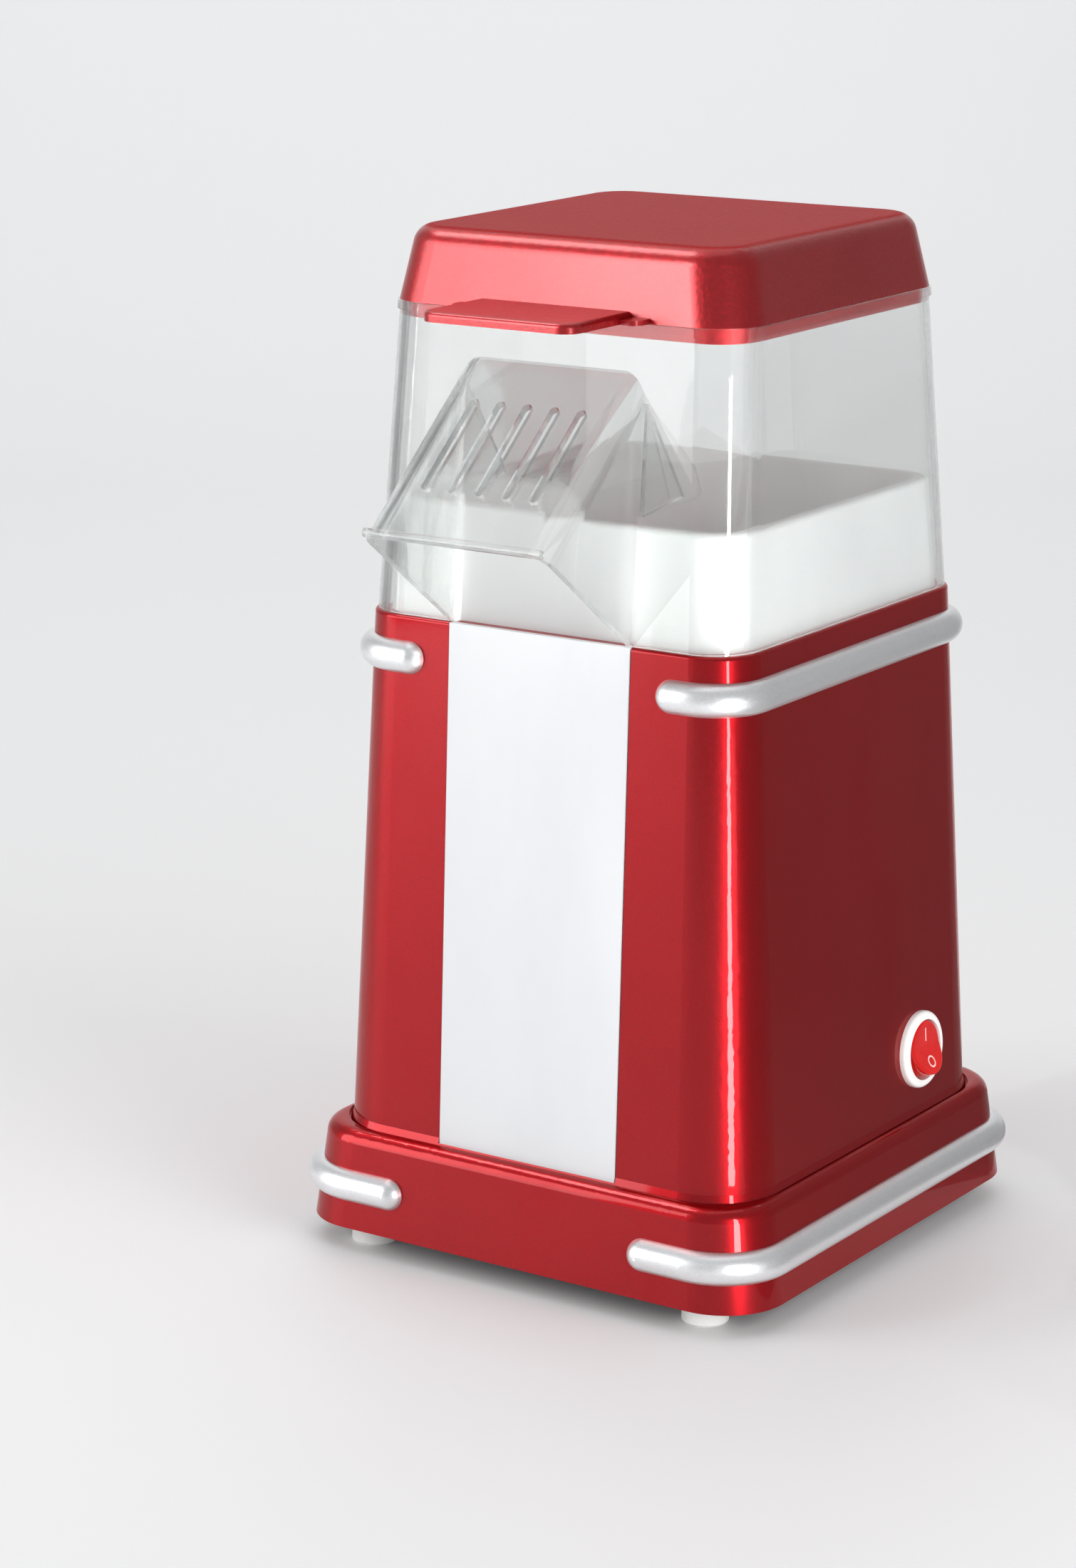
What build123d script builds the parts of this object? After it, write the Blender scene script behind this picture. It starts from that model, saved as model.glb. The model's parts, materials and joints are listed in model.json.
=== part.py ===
from build123d import *
import os
from math import atan2, cos, degrees, radians, sin, sqrt

# Tabletop hot-air popcorn maker. Millimetres, +Z up, front towards -Y, switch towards +X.
# The origin is on the worktop, on the vertical axis that the fan and the popping chamber share.
# A section is (height, half width in X, half depth in Y, corner radius).

# Housing
FOOT_HEIGHT = 7.1
PLINTH_BOTTOM = (FOOT_HEIGHT, 78.7, 80.6, 19.2)
PLINTH_TOP = (36.3, 75.0, 77.6, 18.0)
PLINTH_SHOULDER = 4.2
TOWER_FOOT = (36.3, 70.8, 72.3, 19.9)
TOWER_TOP = (189.3, 62.95, 65.3, 14.25)
TOWER_EDGE = 1.0
WALL = 2.6
SEAM_DEPTH = 1.0
SEAM_WIDTH = 0.6
FOOT_FLARE = 0.9
FLARE_HEIGHT = 1.8
DECK_WINDOW = (58.0, 60.0, 16.0)
HOUSING_SCREW_X = 64.6
HOUSING_SCREW_Y = 12.0
PILOT_RADIUS = 1.2
CLEARANCE_RADIUS = 1.7
SCREW_LENGTH = 11.0

# White front panel, set into the tower's front wall
PANEL_HALF_WIDTH = 30.0
PANEL_GAP = 0.35
PANEL_DEPTH = 1.4
PANEL_PROUD = 0.4

# Silver trim bands
BAND_HALF_HEIGHT = 4.8
BAND_PROUD = 4.0
BAND_SEAT = 1.0
BAND_END_X = 39.0
UPPER_BAND_Z = 177.5
LOWER_BAND_Z = 20.0

# Base plate, feet and their screws
PLATE_Z = 7.6
PLATE_THICKNESS = 2.4
PLATE_HALF = (75.3, 77.2, 15.6)
FOOT_X = 57.4
FOOT_Y = 67.5
FOOT_RADIUS = 6.7
FOOT_BOSS_RADIUS = 4.4
FOOT_SCREW_SEAT = 3.2
INTAKE_SLOTS = 9
INTAKE_PITCH = 9.0
INTAKE_WIDTH = 3.0
INTAKE_LENGTH = 56.0

# Popping chamber and white collar
MOUTH_RADIUS = 41.0
CHAMBER_RADIUS = 40.0
CHAMBER_WALL = 1.0
CHAMBER_FLOOR_Z = 112.0
CHAMBER_FLANGE_RADIUS = 47.0
CHAMBER_SCREW_RADIUS = 44.0
CHAMBER_SCREW_HEAD = 2.3
VENT_COUNT = 20
VENT_SLANT = 32.0
COLLAR_LOW = (189.3, 59.0, 61.3, 12.4)
COLLAR_TOP = (221.5, 57.1, 58.2, 12.0)
COLLAR_WALL = 2.2
COLLAR_RIM = 1.6
COLLAR_SCREW_X = 49.0
COLLAR_SCREW_Y = 51.0

# Clear hood with its chute
HOOD_LOW = (189.5, 62.2, 64.6, 13.9)
HOOD_TOP = (277.0, 58.3, 57.3, 13.2)
HOOD_WALL = 2.2
HOOD_RIM = 0.7
HOOD_RIM_HEIGHT = 2.4
CHUTE_HALF_WIDTH = 30.6
CHUTE_ROOT_Z = 264.0
CHUTE_LIP_Y = -108.0
CHUTE_LIP_Z = 222.0
CHUTE_EDGE = 7.0
LIP_RADIUS = 1.3
SLOT_COUNT = 5
SLOT_PITCH = 8.8
SLOT_WIDTH = 2.8
SLOT_START = 15.0
SLOT_END = 48.0
GUSSET_REACH_Y = -38.0

# Lid with its finger tab
LID_LOW = (277.2, 58.7, 57.8, 14.3)
LID_TOP = (298.0, 54.6, 54.4, 14.0)
LID_EDGE = 6.0
LID_WALL = 2.2
LID_SPIGOT_GAP = 0.4
LID_SPIGOT_WALL = 1.8
LID_SPIGOT_DEPTH = 4.4
TAB_HALF_WIDTH = 25.0
TAB_FRONT_Y = -87.0
TAB_THICKNESS = 2.8
TAB_ROOT_HALF_WIDTH = 31.0

# Round rocker switch on the right wall
SWITCH_Y = 31.0
SWITCH_Z = 55.3
BEZEL_RADIUS = 11.5
BEZEL_HEIGHT = 2.3
SWITCH_BODY_RADIUS = 9.9
SWITCH_DEPTH = 15.0
ROCKER_WELL_RADIUS = 9.05
ROCKER_RADIUS = 8.1
ROCKER_SWING_RADIUS = 8.75
ROCKER_TILT = 13.0
PIVOT_RADIUS = 1.2
RUNNING_GAP = 0.05

# Cord inlet at the back
INLET_Z = 48.0
INLET_RADIUS = 6.4
INLET_FLANGE_RADIUS = 8.6
INLET_BORE_RADIUS = 3.6
INLET_LENGTH = 12.0

# Fan, motor and heater, all on the vertical axis
FAN_FLOOR_Z = 56.0
FAN_TOP_Z = 84.0
FAN_HOUSING_RADIUS = 52.0
FAN_WALL = 2.0
FAN_FLANGE_RADIUS = 58.0
POST_X = 56.0
POST_Y = 58.0
POST_TOP_Z = 80.0
SHAFT_RADIUS = 1.15
MOTOR_RADIUS = 13.85
MOTOR_BOTTOM_Z = 20.0
IMPELLER_RADIUS = 37.0
IMPELLER_BLADES = 12
SHROUD_RADIUS = 50.0
SHROUD_TOP_Z = 140.0
SHROUD_WALL = 0.8
SHROUD_SCREW_RADIUS = 54.0
MOTOR_SCREW_X = 8.0
COIL_RADIUS = 37.0
COIL_TURNS = 5
COIL_PITCH = 3.6
COIL_WIRE = 0.7
MICA = 0.8


def between(low, high, z):
    """The section at height z of the taper from low to high."""
    share = (z - low[0]) / (high[0] - low[0])
    return (z,) + tuple(p + (q - p) * share for p, q in zip(low[1:], high[1:]))


def inset(section, gap):
    """A section drawn in by gap on every side."""
    z, half_x, half_y, radius = section
    return (z, half_x - gap, half_y - gap, max(radius - gap, 0.8))


def outline(section):
    z, half_x, half_y, radius = section
    return Pos(0, 0, z) * RectangleRounded(2 * half_x, 2 * half_y, radius)


def taper(low, high):
    """A solid with straight sloping walls between two sections."""
    return loft([outline(low), outline(high)], ruled=True)


def disc(radius, z0, z1, x=0, y=0):
    return Pos(x, y, (z0 + z1) / 2) * Cylinder(radius, z1 - z0)


def ring(outer, inner, z0, z1, x=0, y=0):
    return disc(outer, z0, z1, x, y) - disc(inner, z0, z1, x, y)


def block(x0, x1, y0, y1, z0, z1):
    centre = Pos((x0 + x1) / 2, (y0 + y1) / 2, (z0 + z1) / 2)
    return centre * Box(x1 - x0, y1 - y0, z1 - z0)


def side_plate(points, half_width):
    """A prism drawn in the Y-Z plane and centred on X."""
    return extrude(Plane.YZ * make_face(Polyline(*points, close=True)), half_width, both=True)


def corners(x, y):
    return [(sx * x, sy * y) for sx in (-1, 1) for sy in (-1, 1)]


def round_the_axis(count, radius, first=0.0):
    """Evenly spaced (x, y) places round the vertical axis, the first at an angle in degrees."""
    turns = [radians(first + i * 360 / count) for i in range(count)]
    return [(radius * cos(a), radius * sin(a)) for a in turns]


def joined(pieces):
    """One shape from several solids: fused where they touch, a group where they do not."""
    total = pieces[0]
    for piece in pieces[1:]:
        total = total + piece
    return total


def tower_at(z):
    return between(TOWER_FOOT, TOWER_TOP, z)


def plinth_at(z):
    return between(PLINTH_BOTTOM, PLINTH_TOP, z)


def hood_at(z):
    return between(HOOD_LOW, HOOD_TOP, z)


def wall_tilt(half_low, half_high):
    """Degrees by which the tower's wall leans in from the vertical."""
    return degrees(atan2(half_low - half_high, TOWER_TOP[0] - TOWER_FOOT[0]))


def switch_place():
    """Local +X leaves the right wall at a right angle, with x = 0 on the wall's face."""
    face_x = tower_at(SWITCH_Z)[1]
    return Pos(face_x, SWITCH_Y, SWITCH_Z) * Rot(0, -wall_tilt(TOWER_FOOT[1], TOWER_TOP[1]), 0)


def inlet_place():
    """Local +Z leaves the back wall at a right angle, with z = 0 on the wall's face."""
    face_y = tower_at(INLET_Z)[2]
    return Pos(0, face_y, INLET_Z) * Rot(-90 + wall_tilt(TOWER_FOOT[2], TOWER_TOP[2]), 0, 0)


# Housing


def plinth():
    body = taper(PLINTH_BOTTOM, PLINTH_TOP)
    body = fillet(body.faces().sort_by(Axis.Z)[-1].edges(), PLINTH_SHOULDER)
    deck_z = PLINTH_TOP[0] - WALL
    body -= taper(inset(plinth_at(FOOT_HEIGHT - 1), WALL), inset(plinth_at(deck_z), WALL))
    body -= extrude(outline((deck_z - 1,) + DECK_WINDOW), WALL + 2)
    seam = inset(tower_at(PLINTH_TOP[0]), -FOOT_FLARE - SEAM_WIDTH)
    seam_floor = PLINTH_TOP[0] - SEAM_DEPTH
    trench = extrude(outline((seam_floor,) + seam[1:]), 2 * SEAM_DEPTH)
    island = inset(tower_at(PLINTH_TOP[0]), WALL)
    body -= trench - extrude(outline((seam_floor,) + island[1:]), 2 * SEAM_DEPTH)
    for x, y in corners(FOOT_X, FOOT_Y):
        body += disc(FOOT_BOSS_RADIUS, PLATE_Z + PLATE_THICKNESS, deck_z + 0.5, x, y)
        body -= disc(1.4, PLATE_Z, 24, x, y)
    for x, y in corners(POST_X, POST_Y):
        body += disc(4.2, deck_z, POST_TOP_Z, x, y)
        body -= disc(1.3, POST_TOP_Z - 14, POST_TOP_Z + 1, x, y)
    for x, y in corners(HOUSING_SCREW_X, HOUSING_SCREW_Y):
        body -= disc(CLEARANCE_RADIUS, deck_z - 1, PLINTH_TOP[0] + 1, x, y)
    return body - lower_band()


def tower_housing():
    foot = tower_at(PLINTH_TOP[0] - SEAM_DEPTH)
    body = taper(foot, TOWER_TOP)
    body = fillet(body.faces().sort_by(Axis.Z)[-1].edges(), TOWER_EDGE)
    flare = inset(foot, -FOOT_FLARE)
    body += taper(flare, tower_at(foot[0] + SEAM_DEPTH + FLARE_HEIGHT))
    deck_z = TOWER_TOP[0] - WALL
    body -= taper(inset(tower_at(foot[0] - 1), WALL), inset(tower_at(deck_z), WALL))
    body -= disc(MOUTH_RADIUS, deck_z - 1, TOWER_TOP[0] + 1)
    body -= panel_blank(PANEL_HALF_WIDTH + PANEL_GAP, 2)
    body -= upper_band()
    body -= switch_place() * Rot(0, 90, 0) * Cylinder(SWITCH_BODY_RADIUS + 0.1, 4 * WALL)
    body -= inlet_place() * Cylinder(INLET_RADIUS + 0.1, 4 * WALL)
    for x, y in corners(HOUSING_SCREW_X, HOUSING_SCREW_Y):
        body += disc(3.3, PLINTH_TOP[0], PLINTH_TOP[0] + SCREW_LENGTH, x, y)
        body -= disc(PILOT_RADIUS, PLINTH_TOP[0] - 1, PLINTH_TOP[0] + SCREW_LENGTH - 1, x, y)
    for x, y in round_the_axis(4, CHAMBER_SCREW_RADIUS, 45):
        body -= disc(PILOT_RADIUS, deck_z - 1, TOWER_TOP[0] + 1, x, y)
    for x, y in corners(COLLAR_SCREW_X, COLLAR_SCREW_Y):
        body -= disc(CLEARANCE_RADIUS, deck_z - 1, TOWER_TOP[0] + 1, x, y)
    return body


def panel_blank(half_width, overhang):
    """The strip of the tower's front wall that the panel takes, with overhang in front of it."""
    top = TOWER_TOP[0]
    foot = PLINTH_TOP[0] + 0.3
    skin = taper(inset(tower_at(foot), -overhang), inset(TOWER_TOP, -overhang))
    skin -= taper(inset(tower_at(foot), PANEL_DEPTH), inset(TOWER_TOP, PANEL_DEPTH))
    return skin & block(-half_width, half_width, -100, 0, foot, top)


def front_panel():
    return panel_blank(PANEL_HALF_WIDTH, PANEL_PROUD)


def band(section):
    """A half-round bead round the sides and back, with a domed end each side of the front."""
    z, half_x, half_y, radius = section
    start = BAND_END_X + BAND_HALF_HEIGHT
    path = FilletPolyline(
        (-start, -half_y, z), (-half_x, -half_y, z), (-half_x, half_y, z),
        (half_x, half_y, z), (half_x, -half_y, z), (start, -half_y, z), radius=radius,
    )
    foot, low, high = -half_y + BAND_SEAT, z - BAND_HALF_HEIGHT, z + BAND_HALF_HEIGHT
    crown = ThreePointArc((-half_y, high), (-half_y - BAND_PROUD, z), (-half_y, low))
    seat = Polyline((-half_y, low), (foot, low), (foot, high), (-half_y, high))
    profile = Pos(-start, 0, 0) * (Plane.YZ * make_face([crown, seat]))
    bead = sweep(profile, path=path)
    upper_half = block(-2 * start, 2 * start, -2 * half_y, 0, z, z + 2 * BAND_HALF_HEIGHT)
    axis = Axis((-start, -half_y, z), (0, 1, 0))
    dome = revolve(profile.face() & upper_half, axis)
    return bead + dome + mirror(dome, Plane.YZ)


def upper_band():
    return band(tower_at(UPPER_BAND_Z))


def lower_band():
    return band(plinth_at(LOWER_BAND_Z))


def base_plate():
    plate = extrude(outline((PLATE_Z,) + PLATE_HALF), PLATE_THICKNESS)
    for i in range(INTAKE_SLOTS):
        y = (i - (INTAKE_SLOTS - 1) / 2) * INTAKE_PITCH
        slot = SlotOverall(INTAKE_LENGTH, INTAKE_WIDTH)
        plate -= extrude(Pos(0, y, PLATE_Z - 1) * slot, PLATE_THICKNESS + 2)
    for x, y in corners(FOOT_X, FOOT_Y):
        plate -= disc(CLEARANCE_RADIUS, PLATE_Z - 1, PLATE_Z + PLATE_THICKNESS + 1, x, y)
    return plate


def feet():
    pieces = []
    for x, y in corners(FOOT_X, FOOT_Y):
        foot = disc(FOOT_RADIUS, 0, PLATE_Z, x, y)
        foot = chamfer(foot.edges().group_by(Axis.Z)[0], 0.6)
        foot -= disc(3.4, -1, FOOT_SCREW_SEAT, x, y) + disc(CLEARANCE_RADIUS, 0, PLATE_Z + 1, x, y)
        pieces.append(foot)
    return joined(pieces)


def screw(x, y, z, length, shank=1.3, head=2.6, head_height=1.6):
    """A pan-head screw with its head's seat at z, pointing up for a positive length."""
    way = 1 if length > 0 else -1
    low, high = sorted((z, z + length))
    top = sorted((z, z - way * head_height))
    body = disc(shank, low, high, x, y) + disc(head, top[0], top[1], x, y)
    cut = z - way * head_height
    recess = sorted((cut, cut + way * 0.8))
    return body - block(x - 1.8, x + 1.8, y - 0.4, y + 0.4, recess[0], recess[1])


def base_screws():
    return joined([screw(x, y, FOOT_SCREW_SEAT, 18, 1.4, 3.1, 2.0) for x, y in corners(FOOT_X, FOOT_Y)])


def housing_screws():
    deck_z = PLINTH_TOP[0] - WALL
    places = corners(HOUSING_SCREW_X, HOUSING_SCREW_Y)
    return joined([screw(x, y, deck_z, SCREW_LENGTH, PILOT_RADIUS) for x, y in places])


# Popping chamber and collar


def popping_chamber():
    """A spun aluminium cup with a rolled-out flange and slanted vents round its foot."""
    top = TOWER_TOP[0] + CHAMBER_WALL
    inner = CHAMBER_RADIUS - CHAMBER_WALL
    cup = disc(CHAMBER_RADIUS, CHAMBER_FLOOR_Z, top) - disc(inner, CHAMBER_FLOOR_Z + CHAMBER_WALL, top + 1)
    cup += ring(CHAMBER_FLANGE_RADIUS, inner + 0.5, TOWER_TOP[0], top)
    cone = Pos(0, 0, CHAMBER_FLOOR_Z + CHAMBER_WALL + 2.5) * Cone(16, 3, 5)
    hollow = Pos(0, 0, CHAMBER_FLOOR_Z + 2) * Cone(15, 2.5, 4)
    cup = cup + cone - hollow
    vent = Pos(CHAMBER_RADIUS, 0, CHAMBER_FLOOR_Z + 10) * Rot(VENT_SLANT, 0, 0) * Box(4, 1.8, 13)
    for i in range(VENT_COUNT):
        cup -= Rot(0, 0, i * 360 / VENT_COUNT) * vent
    for x, y in round_the_axis(4, CHAMBER_SCREW_RADIUS, 45):
        cup -= disc(1.5, TOWER_TOP[0] - 1, top + 1, x, y)
    return cup


def chamber_screws():
    seat = TOWER_TOP[0] + CHAMBER_WALL
    places = round_the_axis(4, CHAMBER_SCREW_RADIUS, 45)
    return joined([screw(x, y, seat, -7, PILOT_RADIUS, CHAMBER_SCREW_HEAD, 1.2) for x, y in places])


def inner_collar():
    """A hollow white tub: sloping outside, rounded rim, and a funnel down to the chamber's mouth."""
    base, top = COLLAR_LOW[0], COLLAR_TOP[0]
    body = taper(COLLAR_LOW, COLLAR_TOP)
    funnel_top = inset(COLLAR_TOP, 2 * COLLAR_RIM + 0.6)
    throat_z = base + 5.0
    funnel_low = (throat_z, MOUTH_RADIUS, MOUTH_RADIUS, MOUTH_RADIUS - 0.4)
    body -= taper(funnel_low, funnel_top)
    body -= disc(MOUTH_RADIUS - 0.4, base - 1, throat_z + 1)
    body = fillet(body.faces().sort_by(Axis.Z)[-1].edges(), COLLAR_RIM)
    under = base - 1
    pocket = taper(inset(between(COLLAR_LOW, COLLAR_TOP, under), COLLAR_WALL),
                   inset(between(COLLAR_LOW, COLLAR_TOP, top - 5), COLLAR_WALL))
    core = taper(inset(funnel_low, -COLLAR_WALL), inset(funnel_top, -COLLAR_WALL))
    core += disc(CHAMBER_FLANGE_RADIUS + 2.6, under - 1, throat_z + COLLAR_WALL)
    body -= pocket - core
    body -= disc(CHAMBER_FLANGE_RADIUS + 0.3, under, base + CHAMBER_WALL)
    for x, y in round_the_axis(4, CHAMBER_SCREW_RADIUS, 45):
        body -= disc(CHAMBER_SCREW_HEAD + 0.3, under, base + CHAMBER_WALL + 1.6, x, y)
    for x, y in corners(COLLAR_SCREW_X, COLLAR_SCREW_Y):
        body += disc(3.4, base, top - 4.5, x, y)
        body -= disc(PILOT_RADIUS, under, base + 9.5, x, y)
    return body


def collar_screws():
    deck_z = TOWER_TOP[0] - WALL
    places = corners(COLLAR_SCREW_X, COLLAR_SCREW_Y)
    return joined([screw(x, y, deck_z, SCREW_LENGTH, PILOT_RADIUS) for x, y in places])


# Hood and lid


def chute_top_z(y):
    """Height of the chute's sloping top at depth y, outside face."""
    root_y = -hood_at(CHUTE_ROOT_Z)[2]
    return CHUTE_ROOT_Z + (y - root_y) * (CHUTE_ROOT_Z - CHUTE_LIP_Z) / (root_y - CHUTE_LIP_Y)


def chute_lean():
    """Degrees by which the chute's top slopes down towards the front."""
    root_y = -hood_at(CHUTE_ROOT_Z)[2]
    return degrees(atan2(CHUTE_ROOT_Z - CHUTE_LIP_Z, root_y - CHUTE_LIP_Y))


def chute_wedge(half_width, drop, edge, under):
    """The chute's outside, or its inside for a positive drop, reaching under its lower edge."""
    back, low = -50.0, HOOD_LOW[0]
    root = (-HOOD_LOW[2], low)
    front = [(CHUTE_LIP_Y, CHUTE_LIP_Z), root, (back, low)]
    if under:
        far = CHUTE_LIP_Y - under
        front = [(far, chute_top_z(far) - drop), (far, low - under), (back, low - under)]
    wedge = side_plate([(back, chute_top_z(back) - drop)] + front, half_width)
    top_face = wedge.faces().filter_by(lambda f: f.normal_at().Z > 0.5)
    slopes = top_face.edges().filter_by(lambda e: abs(e.tangent_at(0.5).X) < 0.1)
    return fillet(slopes, edge)


def chute_slots():
    """Rounded slots that let steam out, cut square to the sloping top."""
    root_y = -hood_at(CHUTE_ROOT_Z)[2]
    place = Pos(0, root_y, CHUTE_ROOT_Z) * Rot(chute_lean(), 0, 0)
    length = SLOT_END - SLOT_START
    slot = Rot(0, 0, 90) * SlotOverall(length, SLOT_WIDTH)
    cuts = []
    for i in range(SLOT_COUNT):
        x = (i - (SLOT_COUNT - 1) / 2) * SLOT_PITCH
        cuts.append(extrude(Pos(x, -(SLOT_START + SLOT_END) / 2, -6) * slot, 9))
    return place * joined(cuts)


def clear_hood():
    """One clear moulding: four leaning walls, a rim that the lid sits on, and the chute."""
    inner_low = inset(hood_at(HOOD_LOW[0] - 1), HOOD_WALL)
    inner = taper(inner_low, inset(hood_at(HOOD_TOP[0] + 1), HOOD_WALL))
    rim_z = HOOD_TOP[0] - HOOD_RIM_HEIGHT
    body = taper(HOOD_LOW, HOOD_TOP)
    body += taper(inset(hood_at(rim_z), -HOOD_RIM), inset(HOOD_TOP, -HOOD_RIM))
    half = CHUTE_HALF_WIDTH - HOOD_WALL
    drop = HOOD_WALL / cos(radians(chute_lean()))
    passage = chute_wedge(half, drop, CHUTE_EDGE - HOOD_WALL, 12.0)
    body += chute_wedge(CHUTE_HALF_WIDTH, 0, CHUTE_EDGE, 0)
    cheek_low, cheek_high = 224.5, 257.0
    gusset = side_plate(
        [(-hood_at(cheek_low)[2] + 1, cheek_low), (GUSSET_REACH_Y, cheek_low + 2.5),
         (-hood_at(cheek_high)[2] + 1, cheek_high)], CHUTE_HALF_WIDTH)
    lip = Pos(0, CHUTE_LIP_Y + 1.2, CHUTE_LIP_Z) * Rot(0, 90, 0) * Cylinder(LIP_RADIUS, 2 * half + 1)
    body = body - inner - passage + lip
    body += gusset - block(-half, half, -100, 0, 200, 270)
    return body - chute_slots()


def lid():
    """A red cap with a deep skirt, a spigot that drops inside the hood, and a finger tab."""
    base, top = LID_LOW[0], LID_TOP[0]
    body = taper(LID_LOW, LID_TOP)
    body = fillet(body.faces().sort_by(Axis.Z)[-1].edges(), LID_EDGE)
    inner_low = inset(between(LID_LOW, LID_TOP, base - 1), LID_WALL)
    inner_top = inset(between(LID_LOW, LID_TOP, top - LID_WALL), LID_WALL)
    cavity = taper(inner_low, inner_top)
    cavity = fillet(cavity.faces().sort_by(Axis.Z)[-1].edges(), LID_EDGE - LID_WALL)
    body -= cavity
    spigot = inset(HOOD_TOP, HOOD_WALL + LID_SPIGOT_GAP)
    bottom = HOOD_TOP[0] - LID_SPIGOT_DEPTH
    plug = extrude(outline((bottom,) + spigot[1:]), base + 2 - bottom)
    plug += extrude(outline((base,) + inset(LID_LOW, 1.0)[1:]), 2)
    plug -= extrude(outline((bottom - 1,) + inset(spigot, LID_SPIGOT_WALL)[1:]), 12)
    body += plug
    root_y = -LID_LOW[2]
    tab = block(-TAB_HALF_WIDTH, TAB_HALF_WIDTH, TAB_FRONT_Y, root_y + 1.5, base, base + TAB_THICKNESS)
    upright = tab.edges().filter_by(Axis.Z).sort_by(Axis.Y)[:2]
    tab = fillet(upright, 5.0)
    tab = fillet(tab.faces().sort_by(Axis.Z)[-1].edges().sort_by(Axis.Y)[:-1], 1.2)
    root = block(-TAB_ROOT_HALF_WIDTH, TAB_ROOT_HALF_WIDTH, root_y - 6, root_y + 1.5, base, base + 1.4)
    root = fillet(root.edges().filter_by(Axis.Z).sort_by(Axis.Y)[:2], 3.0)
    return body + tab + root


# Switch and cord inlet


def switch_body():
    """Round bezel, barrel behind the wall, rocker well and two snap ribs."""
    bezel = Pos(BEZEL_HEIGHT / 2, 0, 0) * Rot(0, 90, 0) * Cylinder(BEZEL_RADIUS, BEZEL_HEIGHT)
    bezel = fillet(bezel.edges().sort_by(Axis.X)[-1], 1.4)
    barrel = Pos(-SWITCH_DEPTH / 2, 0, 0) * Rot(0, 90, 0) * Cylinder(SWITCH_BODY_RADIUS, SWITCH_DEPTH)
    body = bezel + barrel
    well_depth = 10.0
    well = Pos((BEZEL_HEIGHT + 2 - well_depth) / 2, 0, 0) * Rot(0, 90, 0)
    body -= well * Cylinder(ROCKER_WELL_RADIUS, well_depth + BEZEL_HEIGHT + 2)
    body -= Rot(90, 0, 0) * Cylinder(PIVOT_RADIUS + RUNNING_GAP, 2 * SWITCH_BODY_RADIUS + 2)
    for way in (-1, 1):
        rib = block(-WALL - 2.4, -WALL - 0.1, -2.5, 2.5, 0, 1.2)
        body += Pos(0, 0, way * (SWITCH_BODY_RADIUS - 0.2) - 0.6 * (1 - way)) * rib
    return switch_place() * body


def switch_rocker():
    """The rocker, tilted so that its upper half is pressed in and its lower half stands out."""
    profile = Plane.XZ * make_face(Polyline(
        (-4, -ROCKER_RADIUS - 1), (4.5, -ROCKER_RADIUS - 1), (4.5, -ROCKER_RADIUS), (2.6, 0),
        (4.5, ROCKER_RADIUS), (4.5, ROCKER_RADIUS + 1), (-4, ROCKER_RADIUS + 1), close=True))
    body = extrude(profile, 12, both=True)
    body &= Rot(0, 90, 0) * Cylinder(ROCKER_RADIUS, 30)
    body &= Rot(90, 0, 0) * Cylinder(ROCKER_SWING_RADIUS, 30)
    body += Rot(90, 0, 0) * Cylinder(PIVOT_RADIUS, 2 * SWITCH_BODY_RADIUS - 0.4)
    return switch_place() * Rot(0, -ROCKER_TILT, 0) * body


def switch_terminals():
    blades = []
    for z in (-5.5, 0, 5.5):
        blades.append(block(-SWITCH_DEPTH - 8, -SWITCH_DEPTH, -2.4, 2.4, z - 0.4, z + 0.4))
    return switch_place() * joined(blades)


def cord_inlet():
    """A flanged bush that the mains lead would pass through."""
    bush = Pos(0, 0, 1.1) * Cylinder(INLET_FLANGE_RADIUS, 2.2)
    bush = fillet(bush.edges().sort_by(Axis.Z)[-1], 1.2)
    inside = INLET_LENGTH - 2.2
    bush += Pos(0, 0, -inside / 2) * Cylinder(INLET_RADIUS, inside)
    bush -= Cylinder(INLET_BORE_RADIUS, 4 * INLET_LENGTH)
    return inlet_place() * bush


# Fan, motor and heater


def fan_housing():
    """A drum round the impeller, hung by its square flange on the plinth's posts."""
    inner = FAN_HOUSING_RADIUS - FAN_WALL
    body = ring(FAN_HOUSING_RADIUS, inner, FAN_FLOOR_Z, FAN_TOP_Z)
    body += disc(FAN_HOUSING_RADIUS, FAN_FLOOR_Z, FAN_FLOOR_Z + FAN_WALL)
    body += ring(FAN_FLANGE_RADIUS, inner, POST_TOP_Z, FAN_TOP_Z)
    body += ring(inner + 0.5, inner - 4, FAN_TOP_Z - 2, FAN_TOP_Z)
    for x, y in corners(POST_X, POST_Y):
        turn = degrees(atan2(y, x))
        reach = sqrt(x * x + y * y)
        body += Rot(0, 0, turn) * block(inner, reach, -6, 6, POST_TOP_Z, POST_TOP_Z + 3)
        body += disc(6, POST_TOP_Z, POST_TOP_Z + 3, x, y)
        body -= disc(CLEARANCE_RADIUS, POST_TOP_Z - 1, POST_TOP_Z + 4, x, y)
    window = ring(31, 18, FAN_FLOOR_Z - 1, FAN_FLOOR_Z + FAN_WALL + 1)
    for i in range(4):
        window -= Rot(0, 0, 45 + 90 * i) * block(10, 40, -2.5, 2.5, FAN_FLOOR_Z - 2, FAN_FLOOR_Z + 4)
    body -= window
    body -= disc(4.2, FAN_FLOOR_Z - 1, FAN_FLOOR_Z + 4)
    for x in (-MOTOR_SCREW_X, MOTOR_SCREW_X):
        body -= disc(1.5, FAN_FLOOR_Z - 1, FAN_FLOOR_Z + 4, x, 0)
    for x, y in round_the_axis(4, SHROUD_SCREW_RADIUS):
        body -= disc(PILOT_RADIUS, FAN_TOP_Z - 3, FAN_TOP_Z + 1, x, y)
    return body


def fan_housing_screws():
    return joined([screw(x, y, POST_TOP_Z + 3, -12, 1.3, 2.8) for x, y in corners(POST_X, POST_Y)])


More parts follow.
